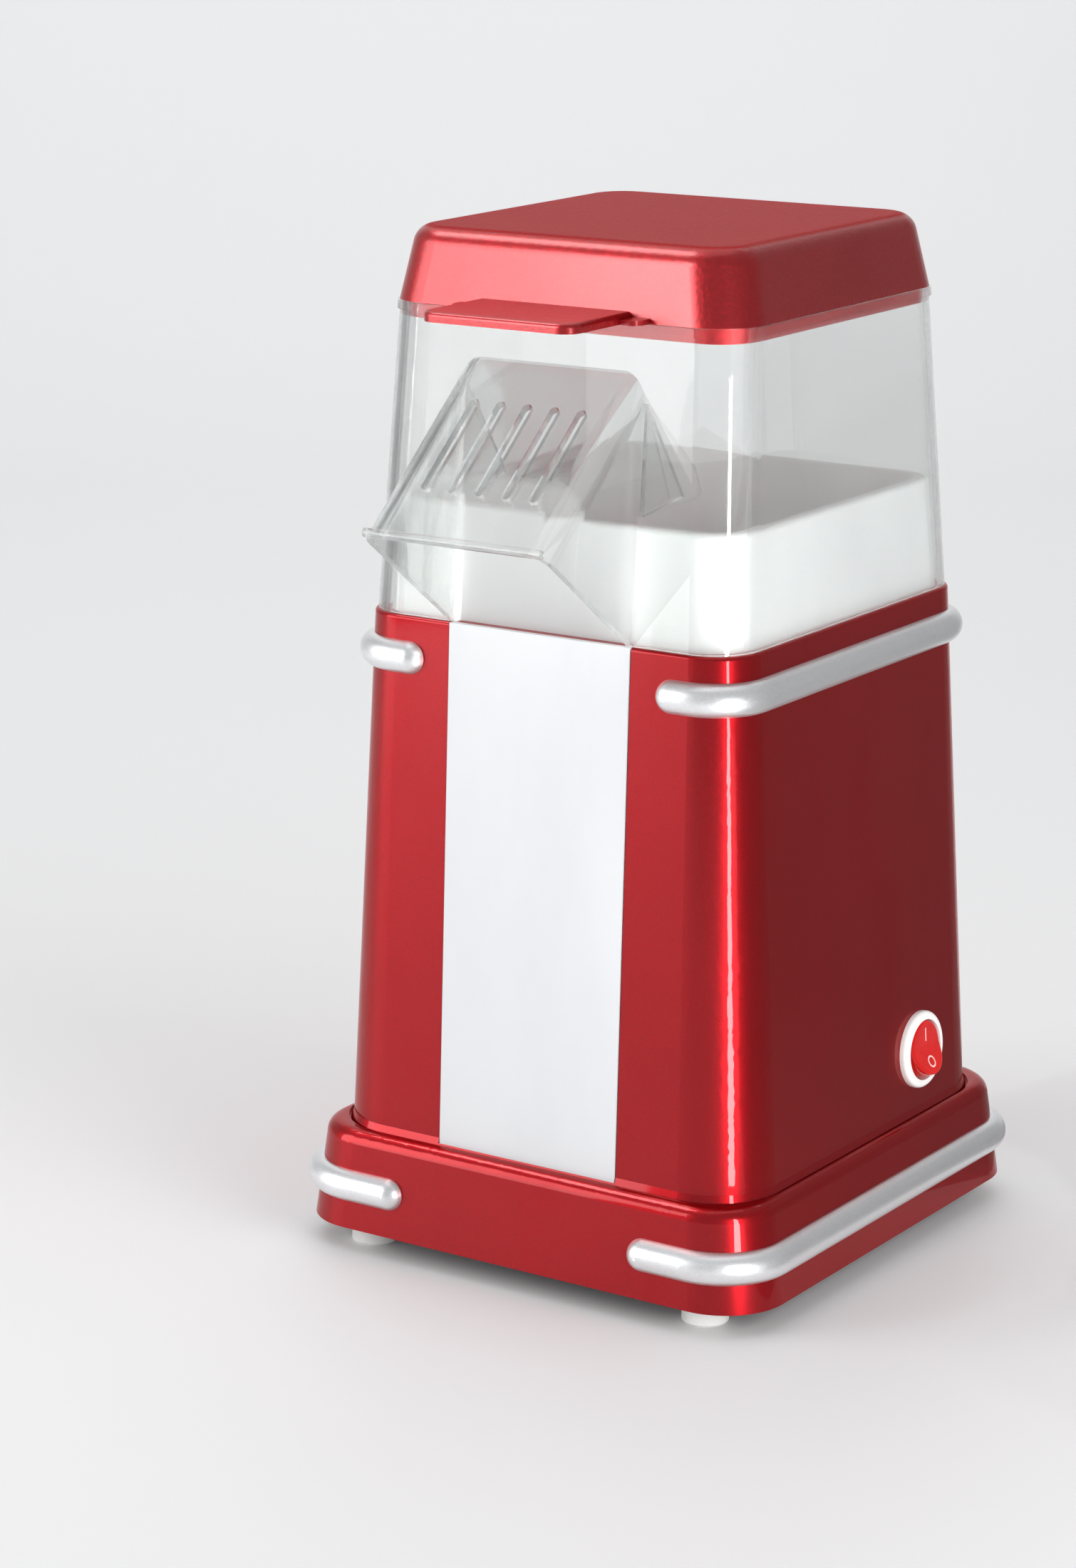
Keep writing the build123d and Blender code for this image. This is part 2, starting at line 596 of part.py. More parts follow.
def fan_impeller():
    """Radial blades under a top disc: air comes in from below and leaves round the rim."""
    low, high = 60.0, 72.0
    body = disc(IMPELLER_RADIUS, high, high + 1.6)
    body += disc(5, low, high)
    blade = Pos(24, 0, 0) * Rot(0, 0, 22) * block(-11, 11, -0.7, 0.7, low, high)
    blade &= ring(IMPELLER_RADIUS, 10, low, high)
    for i in range(IMPELLER_BLADES):
        body += Rot(0, 0, i * 360 / IMPELLER_BLADES) * blade
    return body - disc(SHAFT_RADIUS, low - 1, high + 4)


def motor_shaft():
    return disc(SHAFT_RADIUS, MOTOR_BOTTOM_Z - 0.5, 76)


def motor_can():
    top = FAN_FLOOR_Z
    body = disc(MOTOR_RADIUS, MOTOR_BOTTOM_Z, top) - disc(MOTOR_RADIUS - 1, MOTOR_BOTTOM_Z - 1, top - 1)
    body += disc(4, top, top + 1.8)
    body -= disc(SHAFT_RADIUS + RUNNING_GAP, top - 2, top + 3)
    for x in (-MOTOR_SCREW_X, MOTOR_SCREW_X):
        body -= disc(1.15, top - 2, top + 1, x, 0)
    return body


def motor_end_cap():
    body = disc(MOTOR_RADIUS, MOTOR_BOTTOM_Z - 2, MOTOR_BOTTOM_Z)
    body += disc(MOTOR_RADIUS - 1, MOTOR_BOTTOM_Z, MOTOR_BOTTOM_Z + 2)
    body += disc(4, MOTOR_BOTTOM_Z - 3.2, MOTOR_BOTTOM_Z)
    return body - disc(SHAFT_RADIUS + RUNNING_GAP, MOTOR_BOTTOM_Z - 0.6, MOTOR_BOTTOM_Z + 3)


def motor_magnets():
    shell = ring(MOTOR_RADIUS - 1, 10.2, 31, 51)
    return shell - block(-3.5, 3.5, -20, 20, 30, 52)


def motor_brushes():
    left = block(3.2, 7.5, -1.5, 1.5, 24.5, 28)
    return left + mirror(left, Plane.YZ)


def rotor_core():
    """Three laminated poles with winding windows between them."""
    body = ring(9.7, SHAFT_RADIUS, 32, 50)
    for i in range(3):
        window = Pos(6.3, 0, 41) * Cylinder(2.3, 20) + block(6, 11, -0.7, 0.7, 31, 51)
        body -= Rot(0, 0, 60 + i * 120) * window
    return body


def rotor_windings():
    return ring(8.6, 3.6, 50, 53) + ring(8.6, 3.6, 29.2, 32)


def commutator():
    return ring(2.9, SHAFT_RADIUS, 23.6, 29)


def motor_screws():
    floor = FAN_FLOOR_Z + FAN_WALL
    return joined([screw(x, 0, floor, -3.4, 1.1, 2.2, 1.3) for x in (-MOTOR_SCREW_X, MOTOR_SCREW_X)])


def rectifier_board():
    body = disc(16, 13.6, 15.2)
    return body - disc(1.2, 13, 16, 0, 12)


def rectifier_diodes():
    pieces = []
    for y in (-7.5, -2.5, 2.5, 7.5):
        pieces.append(Pos(0, y, 12.2) * Rot(0, 90, 0) * Cylinder(1.35, 8))
    return joined(pieces)


def heater_shroud():
    """A sheet-steel can that leads the hot air to the chamber's vents."""
    inner = SHROUD_RADIUS - SHROUD_WALL
    body = ring(SHROUD_RADIUS, inner, FAN_TOP_Z, SHROUD_TOP_Z)
    body += ring(SHROUD_RADIUS, CHAMBER_RADIUS + 0.4, SHROUD_TOP_Z - SHROUD_WALL, SHROUD_TOP_Z)
    body += ring(FAN_FLANGE_RADIUS - 0.5, inner, FAN_TOP_Z, FAN_TOP_Z + SHROUD_WALL)
    for x, y in round_the_axis(4, SHROUD_SCREW_RADIUS):
        body -= disc(1.5, FAN_TOP_Z - 1, FAN_TOP_Z + 2, x, y)
    return body


def shroud_screws():
    seat = FAN_TOP_Z + SHROUD_WALL
    places = round_the_axis(4, SHROUD_SCREW_RADIUS)
    return joined([screw(x, y, seat, -3.6, PILOT_RADIUS, 2.3, 1.3) for x, y in places])


def heater_base():
    """Mica disc with air windows, seated on the fan housing's ledge."""
    body = disc(SHROUD_RADIUS - SHROUD_WALL - 0.2, FAN_TOP_Z, FAN_TOP_Z + MICA)
    window = ring(44, 12, FAN_TOP_Z - 1, FAN_TOP_Z + 2)
    for i in range(4):
        window -= Rot(0, 0, 90 * i) * block(8, 50, -3, 3, FAN_TOP_Z - 2, FAN_TOP_Z + 3)
    return body - window


def coil_heights():
    first = FAN_TOP_Z + MICA + 4
    return [first + i * COIL_PITCH for i in range(COIL_TURNS)]


def heater_former():
    """Two mica plates crossed at the axis, notched for the heating wire."""
    low, high = FAN_TOP_Z + MICA, 107.0
    body = block(-41, 41, -MICA / 2, MICA / 2, low, high) + block(-MICA / 2, MICA / 2, -41, 41, low, high)
    for z in coil_heights():
        body -= ring(43, COIL_RADIUS - 1, z - 1, z + 1)
    return body


def heater_coil():
    """The heating wire's turns, each lying in the notches of the former."""
    return joined([Pos(0, 0, z) * Torus(COIL_RADIUS, COIL_WIRE) for z in coil_heights()])


def thermostat():
    """Bimetal disc thermostat on the shroud's outside, facing away from the axis."""
    can = Pos(SHROUD_RADIUS + 2.5, 0, 120) * Rot(0, 90, 0) * Cylinder(8, 5)
    can += block(SHROUD_RADIUS + 5, SHROUD_RADIUS + 8, -5, -3.5, 116, 124)
    can += block(SHROUD_RADIUS + 5, SHROUD_RADIUS + 8, 3.5, 5, 116, 124)
    return Rot(0, 0, 135) * can


def thermal_fuse():
    return Pos(14, 14, 100) * Rot(0, 90, 45) * Cylinder(2, 11)


def wire(points, bend, radius=1.1):
    """An insulated lead along straight runs joined by tangent arcs."""
    path = FilletPolyline(*points, radius=bend)
    start = Plane(origin=path @ 0, z_dir=path % 0)
    return sweep(start * Circle(radius), path=path)


def wiring():
    """Leads inside the housing: inlet to switch, switch to heater and heater back to the inlet."""
    supply = wire([(2.2, 61, 47), (2.2, 55.5, 44), (42, 43, 46), (45.2, 32, 54)], 3)
    feed = wire([(45.2, 31, 49), (38, 33, 44), (27, 25, 34), (12.3, 12, 14.4)], 3)
    back = wire([(-2.2, 61, 47), (-2.2, 55.5, 43), (-22, 40, 34), (-12.3, 12, 14.4)], 3)
    return supply + feed + back


NODES = {
    "plinth": plinth,
    "tower_housing": tower_housing,
    "front_panel": front_panel,
    "upper_band": upper_band,
    "lower_band": lower_band,
    "base_plate": base_plate,
    "feet": feet,
    "base_screws": base_screws,
    "housing_screws": housing_screws,
    "popping_chamber": popping_chamber,
    "chamber_screws": chamber_screws,
    "inner_collar": inner_collar,
    "collar_screws": collar_screws,
    "clear_hood": clear_hood,
    "lid": lid,
    "switch_body": switch_body,
    "switch_rocker": switch_rocker,
    "switch_terminals": switch_terminals,
    "cord_inlet": cord_inlet,
    "fan_housing": fan_housing,
    "fan_housing_screws": fan_housing_screws,
    "fan_impeller": fan_impeller,
    "motor_shaft": motor_shaft,
    "motor_can": motor_can,
    "motor_end_cap": motor_end_cap,
    "motor_magnets": motor_magnets,
    "motor_brushes": motor_brushes,
    "rotor_core": rotor_core,
    "rotor_windings": rotor_windings,
    "commutator": commutator,
    "motor_screws": motor_screws,
    "rectifier_board": rectifier_board,
    "rectifier_diodes": rectifier_diodes,
    "heater_shroud": heater_shroud,
    "shroud_screws": shroud_screws,
    "heater_base": heater_base,
    "heater_former": heater_former,
    "heater_coil": heater_coil,
    "thermostat": thermostat,
    "thermal_fuse": thermal_fuse,
    "wiring": wiring,
}

os.makedirs("parts", exist_ok=True)
for name, make in NODES.items():
    shape = make()
    export_step(shape, f"parts/{name}.step")
    print(f"{name}: {len(shape.solids())} solids, {shape.volume / 1000:.2f} cm3")
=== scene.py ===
# %% [markdown]
# # A hot-air popcorn maker, dressed in Blender
# The imported model already holds every piece in its right place and size. This lesson gives those pieces
# their finishes, replaces the rocker, whose shape deserves finer mesh work, and lights them as in a studio.
# Everything is in metres, +Z is up, the front faces -Y and the switch is on the +X side.

# %% Load the imported model
import bmesh
import bpy
import json
from math import atan2, cos, pi, radians, sin, sqrt
from mathutils import Matrix, Vector


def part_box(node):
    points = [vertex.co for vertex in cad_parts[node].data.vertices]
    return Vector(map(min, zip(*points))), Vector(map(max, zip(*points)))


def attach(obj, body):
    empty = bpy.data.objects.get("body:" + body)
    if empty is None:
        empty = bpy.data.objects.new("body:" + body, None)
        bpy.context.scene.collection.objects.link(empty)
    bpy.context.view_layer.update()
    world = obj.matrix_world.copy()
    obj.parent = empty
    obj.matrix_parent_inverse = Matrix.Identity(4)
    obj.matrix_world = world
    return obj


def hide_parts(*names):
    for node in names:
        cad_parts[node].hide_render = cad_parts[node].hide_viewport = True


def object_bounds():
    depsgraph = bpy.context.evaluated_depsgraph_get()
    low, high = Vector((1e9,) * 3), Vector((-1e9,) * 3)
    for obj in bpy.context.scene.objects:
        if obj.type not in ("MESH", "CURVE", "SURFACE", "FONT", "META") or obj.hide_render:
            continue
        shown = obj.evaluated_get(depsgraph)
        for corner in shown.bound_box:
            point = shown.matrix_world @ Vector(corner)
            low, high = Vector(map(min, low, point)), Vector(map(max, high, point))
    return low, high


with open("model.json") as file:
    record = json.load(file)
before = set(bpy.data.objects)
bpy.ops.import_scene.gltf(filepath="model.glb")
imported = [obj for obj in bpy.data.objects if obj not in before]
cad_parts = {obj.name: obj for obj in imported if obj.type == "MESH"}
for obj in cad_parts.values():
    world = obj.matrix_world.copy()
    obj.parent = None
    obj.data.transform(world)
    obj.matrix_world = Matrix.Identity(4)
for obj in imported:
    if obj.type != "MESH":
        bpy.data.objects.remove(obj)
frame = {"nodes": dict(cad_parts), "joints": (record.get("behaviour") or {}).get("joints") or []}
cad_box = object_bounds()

MM = 0.001
nodes = frame["nodes"]
low, high = ([round(v, 4) for v in corner] for corner in cad_box)
print(f"{len(nodes)} CAD nodes, box {low} to {high}")

# %% [markdown]
# ## The camera
# A long lens from the front right, a little above the lid, keeps the walls nearly parallel while the
# tower's taper still reads. It could be aimed with a Track To constraint, but a heading, tilt and roll
# say the same thing with no extra object. The small shift leaves room beside the maker.

# %% Camera
HEADING = radians(34.85)
TILT = radians(15.24)
ROLL = radians(-0.34)
camera = bpy.data.objects.new("camera", bpy.data.cameras.new("camera"))
bpy.context.scene.collection.objects.link(camera)
bpy.context.scene.camera = camera
ahead = Vector((-sin(HEADING) * cos(TILT), cos(HEADING) * cos(TILT), -sin(TILT)))
camera.matrix_world = (
    Matrix.Translation((0.6290, -0.9998, 0.4389))
    @ ahead.to_track_quat("-Z", "Y").to_matrix().to_4x4()
    @ Matrix.Rotation(ROLL, 4, "Z")
)
camera.data.lens = 95.5
camera.data.shift_x, camera.data.shift_y = 0.0397, 0.0324
print(f"camera {camera.matrix_world.translation.length:.2f} m from the maker's foot")

# %% [markdown]
# ## Shader maths as Python
# A finish is mostly small sums: a mask times a colour, a noise turned into roughness. Dragging Math nodes
# by hand hides those sums, so a `Value` wraps a socket and each Python operator adds the Math node it
# stands for. A `Finish` is one material with one method, `node`, that adds any other node: first its
# settings, then its sockets.

# %% Value: a socket that does arithmetic
class Value:
    def __init__(self, finish, socket):
        self.finish = finish
        self.socket = socket

    def maths(self, operation, *terms, clamp=False):
        sockets = dict(enumerate((self,) + terms))
        return self.finish.node("ShaderNodeMath", {"operation": operation, "use_clamp": clamp}, sockets)

    def __add__(self, other):
        return self.maths("ADD", other)

    __radd__ = __add__

    def __mul__(self, other):
        return self.maths("MULTIPLY", other)

    __rmul__ = __mul__

    def __sub__(self, other):
        return self.maths("SUBTRACT", other)

    def __rsub__(self, other):
        return self * -1.0 + other

    def __pow__(self, other):
        return self.maths("POWER", other)

    def __abs__(self):
        return self.maths("ABSOLUTE")

    def clamped(self):
        return self.maths("ADD", 0.0, clamp=True)

    def step(self, low, high):
        """0 below low, 1 above high and smooth between."""
        sockets = {"Value": self, "From Min": low, "From Max": high}
        return self.finish.node("ShaderNodeMapRange", {"interpolation_type": "SMOOTHSTEP"}, sockets)


# %% Finish: one material
class Finish:
    def __init__(self, name, **shader):
        self.material = bpy.data.materials.new(name)
        self.material.use_nodes = True
        self.tree = self.material.node_tree
        self.tree.nodes.clear()
        self.end = self.tree.nodes.new("ShaderNodeOutputMaterial")
        self.shader = self.tree.nodes.new("ShaderNodeBsdfPrincipled")
        self.tree.links.new(self.shader.outputs[0], self.end.inputs["Surface"])
        self.place = self.node("ShaderNodeTexCoord", out="Object")
        self.set(**shader)

    def node(self, kind, settings=None, sockets=None, out=0):
        """Any node: its settings first, then its sockets; returns one of its outputs as a Value."""
        made = self.tree.nodes.new(kind)
        for name, value in (settings or {}).items():
            setattr(made, name, value)
        for name, value in (sockets or {}).items():
            self.feed(made.inputs[name], value)
        return Value(self, made.outputs[out])

    def feed(self, socket, value):
        if isinstance(value, Value):
            self.tree.links.new(value.socket, socket)
        elif hasattr(value, "__len__") and len(value) == 3 and socket.type == "RGBA":
            socket.default_value = (*value, 1.0)
        else:
            socket.default_value = value

    def set(self, **shader):
        """Sockets of the Principled shader, with underscores for spaces."""
        for name, value in shader.items():
            self.feed(self.shader.inputs[name.replace("_", " ")], value)
        return self

    def mix(self, share, first, second):
        """One colour to another as share goes from 0 to 1."""
        return self.node("ShaderNodeMix", {"data_type": "RGBA"}, {0: share, 6: first, 7: second}, out=2)

    def noise(self, size, detail=3.0, roughness=0.5, stretch=(1, 1, 1)):
        """Noise whose features are about size metres across, or longer where stretch is below 1."""
        place = self.node("ShaderNodeVectorMath", {"operation": "MULTIPLY"}, {0: self.place, 1: stretch})
        sockets = {"Vector": place, "Scale": 1 / size, "Detail": detail, "Roughness": roughness}
        return self.node("ShaderNodeTexNoise", {}, sockets)

    def cells(self, size, feature="F1", out="Distance"):
        sockets = {"Vector": self.place, "Scale": 1 / size}
        return self.node("ShaderNodeTexVoronoi", {"feature": feature}, sockets, out=out)

    def axes(self):
        parts = self.tree.nodes.new("ShaderNodeSeparateXYZ")
        self.feed(parts.inputs[0], self.place)
        return [Value(self, parts.outputs[i]) for i in range(3)]

    def bump(self, height, depth, strength=1.0):
        """Relief of at most depth metres."""
        sockets = {"Height": height, "Distance": depth, "Strength": strength}
        return self.set(Normal=self.node("ShaderNodeBump", {}, sockets))

    def rest(self, piece):
        """Puts this finish on a CAD node or a piece."""
        target = nodes[piece] if isinstance(piece, str) else piece
        target.data.materials.clear()
        target.data.materials.append(self.material)


print("shader helpers ready")

# %% [markdown]
# ## The red housing lacquer
# The tower and plinth are moulded plastic under a metallic candy lacquer: a silver flake coat, a
# transparent red over it and a clear coat on top. The red gets deeper where the surface turns away, so
# the colour comes from a metallic base with fine flake noise, and the wet shine from the coat.

# %% Red lacquer
def candy_red(name, light, deep, roughness, coat):
    finish = Finish(name, Metallic=0.85, Coat_Roughness=0.03, Coat_IOR=1.4, Specular_Tint=(0.9, 0.2, 0.2, 1))
    flake = finish.cells(0.00022, out="Color")
    flake = finish.node("ShaderNodeSeparateColor", {}, {0: flake})
    cloud = finish.noise(0.045, 4.0)
    colour = finish.mix(flake * 0.45 + cloud * 0.4, deep, light)
    wipe = finish.noise(0.02, 5.0, 0.6, stretch=(1, 1, 0.25))
    finish.set(Base_Color=colour, Roughness=roughness + flake * 0.07 + wipe.step(0.45, 0.7) * 0.04)
    finish.set(Coat_Weight=coat - wipe.step(0.5, 0.75) * 0.12)
    ripple = finish.noise(0.0035, 2.0)
    return finish.bump(ripple + flake * 0.15, 0.00001)


housing_red = candy_red("housing_red", (0.43, 0.006, 0.011), (0.26, 0.002, 0.005), 0.30, 0.72)
for name in ("tower_housing", "plinth"):
    housing_red.rest(name)
print("red lacquer on the tower and plinth")

# %% [markdown]
# ## The grained lid
# The lid is sprayed with the same red but over a spark-eroded grain, so it looks satin and its
# highlights break up. The grain is a fine relief about a millimetre across. Cell noise makes the
# rounded pebbles of such a texture, and a little plain noise roughens them. The flat top looks drier
# than the sides, so the coat fades out there.

# %% Lid lacquer
LID_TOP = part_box("lid")[1].z


def grained_red():
    finish = Finish("lid_red", Metallic=0.75, Coat_Roughness=0.26, Coat_IOR=1.5,
                    Specular_Tint=(0.8, 0.14, 0.14, 1))
    pebbles = finish.cells(0.0013, "SMOOTH_F1")
    fine = finish.noise(0.0006, 2.0)
    grain = pebbles * 0.8 + fine * 0.5
    cloud = finish.noise(0.03, 3.0)
    colour = finish.mix(grain * 0.5 + cloud * 0.35, (0.25, 0.003, 0.006), (0.39, 0.006, 0.010))
    height = finish.axes()[2]
    top = height.step(LID_TOP - 1.0 * MM, LID_TOP - 0.2 * MM)
    finish.set(Base_Color=colour, Roughness=0.34 + grain * 0.08)
    finish.set(Coat_Weight=(0.8 + cloud * 0.2) * (1 - top * 0.93))
    return finish.bump(grain, 0.00016, 1.0)


grained_red().rest("lid")
print("grained lacquer on the lid")

# %% [markdown]
# ## White mouldings
# The front panel, the collar in the hood and the switch's bezel are white plastics with different
# shine. Moulded white is never one flat value: flow marks shift the roughness and the tone, and a
# trace of subsurface light softens thin edges.

# %% White plastics
def white_plastic(name, white, shade, roughness, coat, subsurface):
    finish = Finish(name, Coat_Roughness=0.06, Subsurface_Scale=0.003, IOR=1.49,
                    Subsurface_Weight=subsurface, Subsurface_Radius=(1.0, 0.9, 0.8))
    flow = finish.noise(0.03, 4.0, stretch=(1, 1, 0.35))
    speck = finish.noise(0.0012, 2.0)
    finish.set(Base_Color=finish.mix(flow.step(0.35, 0.75), white, shade), Coat_Weight=coat + flow * 0.1)
    finish.set(Roughness=roughness + flow * 0.06 + speck * 0.05)
    return finish.bump(speck * 0.5 + flow, 0.000012)


white_plastic("panel_white", (0.69, 0.70, 0.715), (0.65, 0.66, 0.68), 0.24, 0.25, 0.02).rest("front_panel")
white_plastic("collar_white", (0.51, 0.51, 0.51), (0.47, 0.47, 0.47), 0.3, 0.06, 0.08).rest("inner_collar")
white_plastic("bezel_white", (0.86, 0.86, 0.84), (0.82, 0.82, 0.80), 0.2, 0.4, 0.08).rest("switch_body")
print("white plastics on the panel, collar and bezel")

# %% [markdown]
# ## Silver bands
# The bands are plastic under a satin silver lacquer, with a powdery sparkle rather than a mirror. A
# metallic shader with a fairly high roughness does it, and a faint flake varies both colour and relief.

# %% Silver lacquer
def silver():
    finish = Finish("band_silver", Metallic=0.88, Coat_Roughness=0.2)
    flake = finish.node("ShaderNodeSeparateColor", {}, {0: finish.cells(0.00025, out="Color")})
    cloud = finish.noise(0.02, 4.0)
    finish.set(Base_Color=finish.mix(flake * 0.6 + cloud * 0.3, (0.74, 0.75, 0.76), (0.88, 0.89, 0.90)))
    finish.set(Roughness=0.30 + flake * 0.08 + cloud * 0.05, Coat_Weight=0.25 + cloud * 0.1)
    return finish.bump(flake, 0.000006)


band_silver = silver()
for name in ("upper_band", "lower_band"):
    band_silver.rest(name)
print("silver on both bands")

# %% [markdown]
# ## The clear hood
# Clear moulded plastic is a solid with real thickness, so its walls refract and its edges go dark and
# bright by themselves. Its shadow is the hard part: traced honestly it would be black, because the light
# has to bend through the wall. Letting shadow rays pass straight through a tinted pane keeps the collar
# lit, and what the eye sees still refracts. A share of plain transparency keeps thin edges from going
# darker than such thin walls do.

# %% Clear plastic
SEE_THROUGH = 0.3


def clear_plastic():
    finish = Finish("clear_plastic", Transmission_Weight=1.0, IOR=1.38)
    smear = finish.noise(0.03, 5.0, 0.6)
    wave = finish.noise(0.012, 1.0)
    tint = finish.mix(smear, (0.985, 0.992, 0.988), (0.965, 0.978, 0.972))
    finish.set(Base_Color=tint, Roughness=0.008 + smear.step(0.5, 0.8) * 0.02)
    finish.bump(wave, 0.000012)
    clear = finish.node("ShaderNodeBsdfTransparent", {}, {"Color": (0.97, 0.98, 0.975)})
    plastic = Value(finish, finish.shader.outputs[0])
    body = finish.node("ShaderNodeMixShader", {}, {0: SEE_THROUGH, 1: plastic, 2: clear})
    pane = finish.node("ShaderNodeBsdfTransparent", {}, {"Color": (0.93, 0.95, 0.94)})
    shadow = finish.node("ShaderNodeLightPath", out="Is Shadow Ray")
    lit = finish.node("ShaderNodeMixShader", {}, {0: shadow, 1: body, 2: pane})
    finish.tree.links.new(lit.socket, finish.end.inputs["Surface"])
    return finish


clear_plastic().rest("clear_hood")
print("clear plastic on the hood")

# %% [markdown]
# ## Metals of the chamber, heater and motor
# Spinning leaves rings round an aluminium cup, rolled sheet keeps a straight grain and plated screws are
# faintly mottled. One function takes the direction of the grain and how much of it there is. The cup
# has its own, for its rings and for the straw colour that hot air gives its lower part.

# %% Metals
SCRATCH = 0.6 * MM


def metal(name, light, dark, roughness, grain, stretch=(1, 1, 1)):
    finish = Finish(name, Metallic=1.0)
    scratch = finish.noise(SCRATCH, 4.0, 0.6, stretch=stretch)
    cloud = finish.noise(0.012, 4.0)
    finish.set(Base_Color=finish.mix(cloud * 0.7 + scratch * 0.3, dark, light))
    finish.set(Roughness=roughness + scratch * 0.14 + cloud.step(0.5, 0.8) * 0.08)
    return finish.bump(scratch, grain)


RING_PITCH = 0.9 * MM
HOT_LOW, HOT_HIGH = 112 * MM, 150 * MM


def spun_aluminium():
    finish = Finish("chamber_aluminium", Metallic=1.0)
    x, y, z = finish.axes()
    radius = (x * x + y * y) ** 0.5
    rings = ((radius + z) * (2 * pi / RING_PITCH)).maths("SINE") * 0.5 + 0.5
    cloud = finish.noise(0.01, 4.0)
    straw = (1 - z.step(HOT_LOW, HOT_HIGH)) * 0.55
    plain = finish.mix(cloud, (0.70, 0.71, 0.72), (0.82, 0.82, 0.83))
    finish.set(Base_Color=finish.mix(straw * cloud.step(0.3, 0.8), plain, (0.62, 0.50, 0.34)))
    finish.set(Roughness=0.2 + rings * 0.1 + cloud * 0.1)
    return finish.bump(rings + cloud * 0.4, 0.00002)


spun_aluminium().rest("popping_chamber")
screw_steel = metal("screw_steel", (0.62, 0.62, 0.64), (0.44, 0.44, 0.46), 0.26, 0.00001)
for name in [n for n in nodes if n.endswith("_screws")]:
    screw_steel.rest(name)
METALS = {
    "heater_shroud": ((0.58, 0.58, 0.59), (0.40, 0.39, 0.38), 0.30, (1, 1, 0.04)),
    "motor_can": ((0.60, 0.60, 0.62), (0.46, 0.46, 0.48), 0.24, (1, 1, 0.05)),
    "motor_shaft": ((0.72, 0.72, 0.74), (0.60, 0.60, 0.62), 0.14, (0.05, 0.05, 1)),
    "rotor_core": ((0.34, 0.34, 0.35), (0.20, 0.19, 0.19), 0.42, (0.02, 0.02, 1)),
    "heater_coil": ((0.40, 0.36, 0.34), (0.22, 0.19, 0.19), 0.45, (1, 1, 1)),
    "thermostat": ((0.66, 0.65, 0.62), (0.48, 0.47, 0.45), 0.28, (1, 1, 1)),
    "switch_terminals": ((0.80, 0.62, 0.30), (0.60, 0.42, 0.18), 0.24, (0.1, 1, 1)),
    "rotor_windings": ((0.74, 0.33, 0.17), (0.48, 0.17, 0.08), 0.30, (1, 1, 0.1)),
    "commutator": ((0.72, 0.42, 0.28), (0.50, 0.26, 0.15), 0.22, (1, 1, 0.1)),
}
for name, (light, dark, roughness, stretch) in METALS.items():
    metal(name + "_metal", light, dark, roughness, 0.00001, stretch=stretch).rest(name)
print(f"{len(METALS) + 2} metal finishes")

# %% [markdown]
# ## Plain plastics, rubbers and ceramics
# The rest is moulded or pressed in one colour. Each still gets a speckle in its colour, an uneven
# roughness and the fine spark-eroded relief that moulds leave.

# %% Moulded and pressed materials
SPECK = 0.8 * MM


def moulded(name, light, dark, roughness, grain):
    finish = Finish(name)
    speck = finish.noise(SPECK, 3.0)
    cloud = finish.noise(0.015, 4.0)
    finish.set(Base_Color=finish.mix(speck * 0.6 + cloud * 0.4, dark, light))
    finish.set(Roughness=roughness + speck * 0.12 + cloud * 0.06)
    return finish.bump(speck, grain)


MOULDED = {
    "base_plate": ((0.060, 0.060, 0.064), (0.030, 0.030, 0.033), 0.50, 0.00004),
    "feet": ((0.84, 0.84, 0.82), (0.72, 0.72, 0.70), 0.42, 0.00001),
    "cord_inlet": ((0.045, 0.045, 0.047), (0.025, 0.025, 0.026), 0.48, 0.00002),
    "fan_housing": ((0.11, 0.11, 0.12), (0.06, 0.06, 0.065), 0.46, 0.00003),
    "motor_end_cap": ((0.10, 0.10, 0.11), (0.05, 0.05, 0.055), 0.40, 0.00002),
    "fan_impeller": ((0.72, 0.71, 0.66), (0.58, 0.57, 0.52), 0.42, 0.00002),
    "motor_magnets": ((0.11, 0.11, 0.12), (0.05, 0.05, 0.055), 0.55, 0.00004),
    "motor_brushes": ((0.09, 0.09, 0.09), (0.04, 0.04, 0.04), 0.60, 0.00003),
    "rectifier_board": ((0.42, 0.27, 0.13), (0.30, 0.18, 0.08), 0.42, 0.00002),
    "rectifier_diodes": ((0.05, 0.05, 0.055), (0.02, 0.02, 0.022), 0.34, 0.00001),
    "heater_base": ((0.66, 0.58, 0.42), (0.46, 0.38, 0.25), 0.32, 0.00003),
    "heater_former": ((0.66, 0.58, 0.42), (0.46, 0.38, 0.25), 0.32, 0.00003),
    "thermal_fuse": ((0.84, 0.82, 0.76), (0.70, 0.68, 0.62), 0.38, 0.00001),
    "wiring": ((0.72, 0.70, 0.66), (0.58, 0.56, 0.52), 0.44, 0.00001),
}
for name, (light, dark, roughness, grain) in MOULDED.items():
    moulded(name + "_finish", light, dark, roughness, grain).rest(name)
print(f"{len(MOULDED)} moulded finishes")
